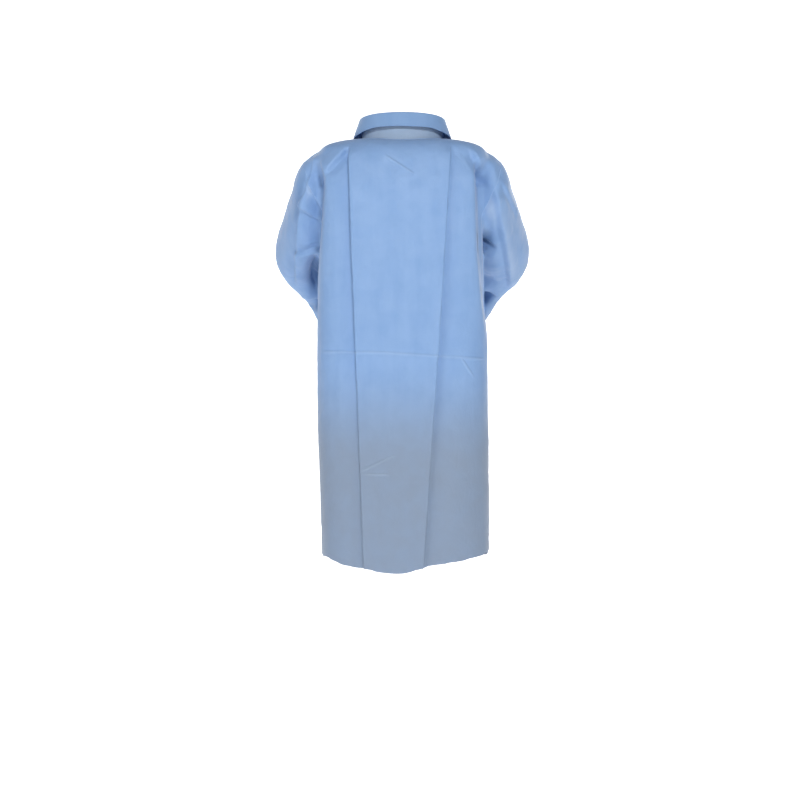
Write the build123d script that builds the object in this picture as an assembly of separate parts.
from build123d import *
import math
import os

# Disposable non-woven lab coat in its worn shape: panels, collar, sleeves, pockets, cuffs, snaps.
# The origin is the middle of the neck opening, +Z is up and the front faces -Y, so the wearer's
# left is +X. Cloth is drawn thicker than real non-woven cloth, so that every piece is sound.

# ---- driving dimensions, millimetres ----
CLOTH = 1.5  # thickness of every cloth solid
GAP = 0.3  # clearance between layers that lie on each other
CUT = 0.6  # width of a cut between two parts of one panel
HEM_Z = -925
CHEST_Z, CHEST_FRONT_Y, HEM_FRONT_Y = -110, -128, -158  # the front is straight from chest to hem
FRONT_SLOPE = (CHEST_FRONT_Y - HEM_FRONT_Y) / (CHEST_Z - HEM_Z)
WIDEST_Y = 22  # where the torso is widest: the back is broader than the front
SEAM_Y = 5  # side and shoulder seams, between back and front


def front_line(z):
    """Y of the straight part of the front at the centre line."""
    return CHEST_FRONT_Y + FRONT_SLOPE * (z - CHEST_Z)


# Torso outline from the shoulders down: height, half width, Y of the back, Y of the front.
TORSO = [
    (4, 96, 66, -58),
    (-8, 142, 84, -76),
    (-24, 164, 98, -94),
    (-52, 175, 110, -112),
    (CHEST_Z, 180, 120, CHEST_FRONT_Y),
    (-230, 181, 130, front_line(-230)),
    (-420, 181, 140, front_line(-420)),
    (-650, 183, 152, front_line(-650)),
    (HEM_Z, 184, 165, HEM_FRONT_Y),
]

# Front opening: the left front laps over the right one, and both turn about lines at HINGE_X.
LAP = 20  # each front passes the centre line by this much
LAP_LIFT = 6  # the left front lies this far outside the right one, room for facings and snaps
HINGE_X = 150
FLAP_TOP_Z, FLAP_SIDE_Z = -92, -255  # upper edge of the turning part, at the centre and the hinge
FACING_WIDTH = 60
SNAP_Z = [-125, -265, -405, -545, -685]
CAP_RADIUS, SOCKET_RADIUS, STUD_RADIUS, SHANK_RADIUS = 5.5, 5, 2, 1.4
CAP_THICKNESS, SOCKET_THICKNESS, FLANGE_THICKNESS, STUD_HEIGHT = 1.6, 1.2, 0.5, 1.65
HOLE_LENGTH = 40  # a snap's hole is cut through all layers at once

# Sleeve on the wearer's left: section centres, their directions, half width and half height.
ELBOW = Vector(205, -185, -250)
WRIST = Vector(90, -360, -440)
UPPER_SECTIONS = [
    (Vector(110, 0, -118), Vector(1, 0, 0), 62, 95),
    (Vector(176, -32, -138), Vector(0.80, -0.50, -0.33), 60, 92),
    (Vector(199, -105, -190), Vector(0.25, -0.80, -0.55), 60, 82),
]
ELBOW_SIZE = (64, 74)
FOREARM_MIDDLE = 0.5  # of the way from elbow to wrist
MIDDLE_SIZE = (56, 60)
WRIST_RADIUS = 47
CUFF_LENGTH, CUFF_RADIUS, ELASTIC_WIDTH, ELASTIC_THICKNESS = 34, 44, 14, 1
ELBOW_POINT = Vector(0.87, 0.18, -0.45)  # the way the elbow's point faces
ELBOW_WEDGE = 10  # degrees cut out of the crook, so that the elbow can bend further
RAISE_POINT = Vector(128, 0, -8)

# Collar, in a plane that is lower at the front.
NECK_WIDTH, NECK_BACK, NECK_FRONT = 86, 58, (16, -92)
COLLAR_TILT = 9
STAND_HEIGHT = 56
LEAF_DROP, LEAF_FLARE = 30, 13
WING_DROP, POINT_DROP, WING_LEAN = 38, 64, 34
POINT_FORWARD = 4  # the wing's point reaches this far past its front corner
NECK_COLUMN = (-70, 156)  # the neck opening's cut runs between these heights above its plane

# Pockets on the wearer's left: low and high X, low and high Z.
CHEST_POCKET = (34, 134, -405, -280)
HIP_POCKET = (26, 140, -715, -560)
POCKET_DEPTH = 13
LABEL_SIZE, LABEL_BELOW_SEAM = (44, 26), 12

LEFT, RIGHT = 1, -1
FAR = 1000


def side_name(side):
    return "left" if side == LEFT else "right"


def sided(shape, side):
    """The shape as drawn for the wearer's left, or its mirror image for the right."""
    return shape if side == LEFT else mirror(shape, about=Plane.YZ)


def box_between(low, high):
    """An axis-aligned box from its lowest to its highest corner."""
    middle = [(a + b) / 2 for a, b in zip(low, high)]
    return Pos(*middle) * Box(*[b - a for a, b in zip(low, high)])


def prism(points_xz, y_from, y_to):
    """A straight prism along Y over an outline given in X and Z."""
    outline = Polyline(*[(x, y_from, z) for x, z in points_xz], close=True)
    return extrude(make_face(outline), y_to - y_from, dir=(0, 1, 0))


# ---- torso ----
def torso_section(offset, row, z):
    """Closed outline at one height: two half ellipses that share their widest line."""
    _, width, back, front = row
    middle = Plane((0, WIDEST_Y, z))
    back_half = middle * Ellipse(width + offset, back + offset - WIDEST_Y)
    front_half = middle * Ellipse(width + offset, WIDEST_Y - front + offset)
    keep_back = Plane((0, WIDEST_Y, z)) * Rectangle(FAR, FAR, align=(Align.CENTER, Align.MIN))
    keep_front = Plane((0, WIDEST_Y, z)) * Rectangle(FAR, FAR, align=(Align.CENTER, Align.MAX))
    return (back_half & keep_back).face(), (front_half & keep_front).face()


def torso_volume(offset):
    """The torso grown by offset, as one closed volume."""
    backs, fronts = [], []
    for i, row in enumerate(TORSO):
        z = row[0] + offset if i == 0 else row[0]
        back, front = torso_section(offset, row, z)
        backs.append(back)
        fronts.append(front)
    return loft(backs, ruled=True) + loft(fronts, ruled=True)


def torso_layer(inner, outer):
    """A skin of the torso between two offsets, open at the hem."""
    return torso_volume(outer) - torso_volume(inner)


def flap_region(side, clearance=0):
    """What a front's turning part covers, seen from the front, grown by a clearance."""
    slope = (FLAP_SIDE_Z - FLAP_TOP_Z) / HINGE_X
    inner_x, outer_x = -LAP - clearance, HINGE_X + clearance
    points = [
        (inner_x, FLAP_TOP_Z + slope * inner_x + clearance),
        (outer_x, FLAP_TOP_Z + slope * outer_x + clearance),
        (outer_x, HEM_Z - 1),
        (inner_x, HEM_Z - 1),
    ]
    return prism([(side * x, z) for x, z in points], -FAR, 0)


def lift(side):
    """How far a front lies outside the torso's own skin."""
    return LAP_LIFT if side == LEFT else 0


def snap_plane(z, offset):
    """The front's surface at a snap, moved outward by offset, facing out."""
    outward = Vector(0, -1, FRONT_SLOPE).normalized()
    return Plane(Vector(0, front_line(z), z) + outward * offset, x_dir=(1, 0, 0), z_dir=outward)


def snap_holes():
    """Clear holes for every snap's shank, through all layers of the front."""
    holes = [snap_plane(z, 0) * Cylinder(SHANK_RADIUS + GAP, HOLE_LENGTH) for z in SNAP_Z]
    return Part() + holes


def armholes():
    """The space inside both sleeves, where they pass through the torso's skin."""
    left = tube_volume(sleeve_sections(), 0)
    return left + sided(left, RIGHT)


def neck_column(offset):
    """The neck opening grown by offset, running through the torso's top."""
    return neck_prism(offset, *NECK_COLUMN)


def fixed_front_region(side):
    """Where a front's fixed part may lie: the left one owns the closed corner below the neck."""
    edge = LAP if side == LEFT else -LAP - CUT
    low, high = (-edge, FAR) if side == LEFT else (-FAR, edge)
    return box_between((low, -FAR, -FAR), (high, SEAM_Y - CUT, FAR))


def fixed_panels():
    """The skin that stays still, cut at the side and shoulder seams."""
    skin = torso_layer(0, CLOTH) - neck_column(CLOTH + GAP) - armholes()
    fixed = skin - flap_region(LEFT, CUT) - flap_region(RIGHT, CUT)
    panels = {"back_panel": fixed & box_between((-FAR, SEAM_Y, -FAR), (FAR, FAR, FAR))}
    for side in (LEFT, RIGHT):
        panels[f"{side_name(side)}_front_side"] = fixed & fixed_front_region(side)
    return panels


def turning_fronts():
    """Each front that opens, with the folded facing behind its edge."""
    parts = {}
    for side in (LEFT, RIGHT):
        base = lift(side)
        region = flap_region(side)
        edge_strip = box_between((-LAP, -FAR, -FAR), (FACING_WIDTH - LAP, 0, FAR))
        front = (torso_layer(base, base + CLOTH) - snap_holes()) & region
        facing = (torso_layer(base - GAP - CLOTH, base - GAP) - snap_holes()) & region
        parts[f"{side_name(side)}_front"] = front
        parts[f"{side_name(side)}_facing"] = facing & sided(edge_strip, side)
    return parts


# ---- snaps ----
def snap_disc(z, low, high, radius):
    """A disc square to the front, between two offsets from the torso's skin."""
    return snap_plane(z, (low + high) / 2) * Cylinder(radius, high - low)


def snap_cap(z):
    """Outer cap with the shank that runs through the left front."""
    outside = LAP_LIFT + CLOTH + GAP
    inside = LAP_LIFT - GAP - CLOTH
    cap = snap_disc(z, outside, outside + CAP_THICKNESS, CAP_RADIUS)
    dimple = snap_disc(z, outside + CAP_THICKNESS / 2, outside + 2 * CAP_THICKNESS, CAP_RADIUS / 2)
    return cap - dimple + snap_disc(z, inside, outside, SHANK_RADIUS)


def snap_socket(z):
    """Ring behind the left front that the stud presses into."""
    outside = LAP_LIFT - 2 * GAP - CLOTH
    ring = snap_disc(z, outside - SOCKET_THICKNESS, outside, SOCKET_RADIUS)
    return ring - snap_disc(z, outside - SOCKET_THICKNESS, outside - GAP, STUD_RADIUS + GAP)


def snap_stud(z):
    """Stud on the right front's outer face."""
    flange_low = CLOTH + GAP / 2
    flange = snap_disc(z, flange_low, flange_low + FLANGE_THICKNESS, SOCKET_RADIUS - 1)
    return flange + snap_disc(z, flange_low, flange_low + STUD_HEIGHT, STUD_RADIUS)


def snap_post(z):
    """Ring behind the right front, with the shank that holds the stud."""
    outside = -CLOTH - 2 * GAP
    ring = snap_disc(z, outside - FLANGE_THICKNESS, outside, SOCKET_RADIUS)
    return ring + snap_disc(z, outside, CLOTH, SHANK_RADIUS)


def snaps():
    makers = {
        "snap_caps": snap_cap,
        "snap_sockets": snap_socket,
        "snap_studs": snap_stud,
        "snap_posts": snap_post,
    }
    return {name: Compound([make(z) for z in SNAP_Z]) for name, make in makers.items()}


# ---- pockets ----
def pocket(side, limits):
    """A patch pocket that stands off its front, closed at the sides and below, open above."""
    low_x, high_x, low_z, high_z = limits
    base = lift(side) + CLOTH + GAP
    outline = [(low_x, low_z), (high_x, low_z), (high_x, high_z), (low_x, high_z)]
    inside = [(low_x + CLOTH, low_z + CLOTH), (high_x - CLOTH, low_z + CLOTH)]
    inside += [(high_x - CLOTH, high_z + 1), (low_x + CLOTH, high_z + 1)]
    block = torso_layer(base, base + POCKET_DEPTH + CLOTH)
    block = block & sided(prism(outline, -FAR, 0), side)
    room = torso_volume(base + POCKET_DEPTH) & sided(prism(inside, -FAR, 0), side)
    return block - room


# ---- collar ----
def collar_plane(height):
    """The neck's plane, raised along its own axis; the neck seam's back is at Z = 0."""
    tilt = math.radians(COLLAR_TILT)
    up = Vector(0, -math.sin(tilt), math.cos(tilt))
    middle = Vector(0, 0, -NECK_BACK * math.tan(tilt))
    return Plane(middle + up * height, x_dir=(1, 0, 0), z_dir=up)


def neck_side():
    """Unit directions of the neck's straight left side: along it, and away from the neck."""
    along = (Vector(*NECK_FRONT) - Vector(NECK_WIDTH, 0)).normalized()
    return along, Vector(-along.Y, along.X)


def neck_face(offset, height):
    """The neck outline grown by offset: round behind, straight towards the front."""
    along, away = neck_side()
    side_start = Vector(NECK_WIDTH + offset / away.X, 0)
    side_end = Vector(*NECK_FRONT) + away * offset
    plane = collar_plane(height)
    back = plane * Ellipse(side_start.X, NECK_BACK + offset)
    back = back & plane * Rectangle(FAR, FAR, align=(Align.CENTER, Align.MIN))
    corners = [side_start, side_end, Vector(-side_end.X, side_end.Y), Vector(-side_start.X, 0)]
    front = plane * make_face(Polyline(*[(p.X, p.Y) for p in corners], close=True))
    return (back + front).face()


def neck_prism(offset, low, high):
    return extrude(neck_face(offset, low), high - low, dir=collar_plane(0).z_dir)


def collar_stand():
    """The band round the neck, open at the front."""
    band = neck_prism(CLOTH, 0, STAND_HEIGHT) - neck_prism(0, -1, STAND_HEIGHT + 1)
    front_gap = box_between((-NECK_FRONT[0], -FAR, -FAR), (NECK_FRONT[0], 0, FAR))
    return band - front_gap


def in_world(point, height=0):
    """A point or a direction's end, given in the neck's plane, in the coat's own axes."""
    return collar_plane(height).from_local_coords(Vector(point.X, point.Y))


def wing_frame():
    """The left wing's fold: its start, its direction and the way it hangs and faces."""
    along, away = neck_side()
    up = collar_plane(0).z_dir
    start = in_world(Vector(NECK_WIDTH, 0) + away * (CLOTH + GAP), STAND_HEIGHT + GAP)
    along = (in_world(along) - in_world(Vector())).normalized()
    away = (in_world(away) - in_world(Vector())).normalized()
    lean = math.radians(WING_LEAN)
    down = away * math.sin(lean) - up * math.cos(lean)
    return start, along, down


def wing_cut(clearance):
    """Everything forward of the line where the left wing starts, square to its fold."""
    start, along, _ = wing_frame()
    up = collar_plane(0).z_dir
    cut = Plane(start - along * clearance, x_dir=up, z_dir=along)
    return cut * Box(FAR, NECK_WIDTH, FAR, align=(Align.CENTER, Align.CENTER, Align.MIN))


def collar_leaf():
    """The fold-over leaf behind the neck: a rolled top and a flared skirt."""
    roll = CLOTH + GAP
    low, high = STAND_HEIGHT - LEAF_DROP, STAND_HEIGHT + GAP
    flared, upright = roll + LEAF_FLARE, roll
    outer = loft([neck_face(flared + CLOTH, low), neck_face(upright + CLOTH, high + CLOTH)], ruled=True)
    inner = loft([neck_face(flared, low), neck_face(upright, high)], ruled=True)
    leaf = outer - inner - neck_prism(-CLOTH, 0, 2 * STAND_HEIGHT)
    left_cut = wing_cut(CUT)
    return leaf - left_cut - sided(left_cut, RIGHT)


def collar_wing(side):
    """The pointed front part of the leaf, a flat plate that hangs from its fold."""
    start, along, down = wing_frame()
    length = (Vector(*NECK_FRONT) - Vector(NECK_WIDTH, 0)).length
    corners = [(0, 0), (length, 0), (length + POINT_FORWARD, POINT_DROP), (0, WING_DROP)]
    outline = Polyline(*[start + along * s + down * d for s, d in corners], close=True)
    plate = extrude(make_face(outline), CLOTH, dir=along.cross(down))
    return sided(plate, side)


def neck_label():
    """A blank size label on the inside of the back, below the neck seam."""
    width, height = LABEL_SIZE
    low_z = -height - LABEL_BELOW_SEAM
    window = box_between((-width / 2, 0, low_z), (width / 2, FAR, low_z + height))
    return torso_layer(-GAP - CLOTH / 2, -GAP) & window


# ---- sleeves ----
def sleeve_face(section, offset):
    """A sleeve's section across its own direction, grown by offset."""
    centre, direction, half_width, half_height = section
    across = Vector(0, 0, 1).cross(direction) * -1
    plane = Plane(centre, x_dir=across, z_dir=direction)
    return plane * Ellipse(half_width + offset, half_height + offset)


def elbow_frame():
    """The mitre's direction, the way from its centre to the hinge, and the hinge's place."""
    upper = (ELBOW - UPPER_SECTIONS[-1][0]).normalized()
    forearm = (WRIST - ELBOW).normalized()
    mitre = (upper + forearm).normalized()
    outward = (ELBOW_POINT - mitre * ELBOW_POINT.dot(mitre)).normalized()
    hinge = ELBOW + outward * (max(ELBOW_SIZE) + CLOTH + 1)
    return mitre, outward, hinge


def sleeve_sections():
    """All sections of the upper sleeve, the last one in the elbow's mitre."""
    mitre, _, _ = elbow_frame()
    return UPPER_SECTIONS + [(ELBOW, mitre, *ELBOW_SIZE)]


def forearm_sections():
    mitre, _, _ = elbow_frame()
    forearm = (WRIST - ELBOW).normalized()
    middle = ELBOW + (WRIST - ELBOW) * FOREARM_MIDDLE
    return [
        (ELBOW, mitre, *ELBOW_SIZE),
        (middle, forearm, *MIDDLE_SIZE),
        (WRIST, forearm, WRIST_RADIUS, WRIST_RADIUS),
    ]


def tube_volume(sections, offset):
    """Closed volume through the sections, grown by offset."""
    return loft([Sketch() + sleeve_face(section, offset) for section in sections], ruled=True)


def tube_skin(sections):
    """An open tube of cloth through the sections, made span by span."""
    spans = zip(sections, sections[1:])
    walls = [tube_volume(span, CLOTH) - tube_volume(span, 0) for span in map(list, spans)]
    return Part() + walls


def upper_sleeve(side):
    return sided(tube_skin(sleeve_sections()) - torso_volume(CLOTH + GAP), side)


def forearm_sleeve(side):
    """The forearm's tube, cut back in the crook by the elbow's wedge."""
    mitre, outward, hinge = elbow_frame()
    wedge = math.radians(ELBOW_WEDGE)
    facing = mitre * math.cos(wedge) + outward * math.sin(wedge)
    behind = Plane(hinge + facing * CUT, z_dir=facing)
    behind = behind * Box(FAR, FAR, FAR, align=(Align.CENTER, Align.CENTER, Align.MAX))
    return sided(tube_skin(forearm_sections()) - behind, side)


def ring(start, width, radius, thickness):
    """A band round the forearm's line, from a distance past the wrist."""
    forearm = (WRIST - ELBOW).normalized()
    plane = Plane(WRIST + forearm * (start + width / 2), z_dir=forearm)
    return plane * Cylinder(radius + thickness, width) - plane * Cylinder(radius, width + 1)


def cuff(side):
    """The gathered casing at the sleeve's end, with the channel that holds the elastic."""
    casing = ring(CUT, CUFF_LENGTH, CUFF_RADIUS, CLOTH)
    return sided(casing, side)


def cuff_elastic(side):
    start = CUT + (CUFF_LENGTH - ELASTIC_WIDTH) / 2
    band = ring(start, ELASTIC_WIDTH, CUFF_RADIUS - GAP - ELASTIC_THICKNESS, ELASTIC_THICKNESS)
    return sided(band, side)


def parts():
    """Every node's solids by name."""
    nodes = fixed_panels() | turning_fronts() | snaps()
    nodes["collar_stand"] = collar_stand()
    nodes["collar_leaf"] = collar_leaf()
    nodes["neck_label"] = neck_label()
    nodes["chest_pocket"] = pocket(LEFT, CHEST_POCKET)
    for side in (LEFT, RIGHT):
        name = side_name(side)
        nodes[f"{name}_hip_pocket"] = pocket(side, HIP_POCKET)
        nodes[f"{name}_collar_wing"] = collar_wing(side)
        nodes[f"{name}_upper_sleeve"] = upper_sleeve(side)
        nodes[f"{name}_forearm_sleeve"] = forearm_sleeve(side)
        nodes[f"{name}_cuff"] = cuff(side)
        nodes[f"{name}_cuff_elastic"] = cuff_elastic(side)
    return nodes


def main():
    os.makedirs("parts", exist_ok=True)
    for name, shape in parts().items():
        export_step(Compound(shape.solids()), f"parts/{name}.step")


if __name__ == "__main__":
    main()
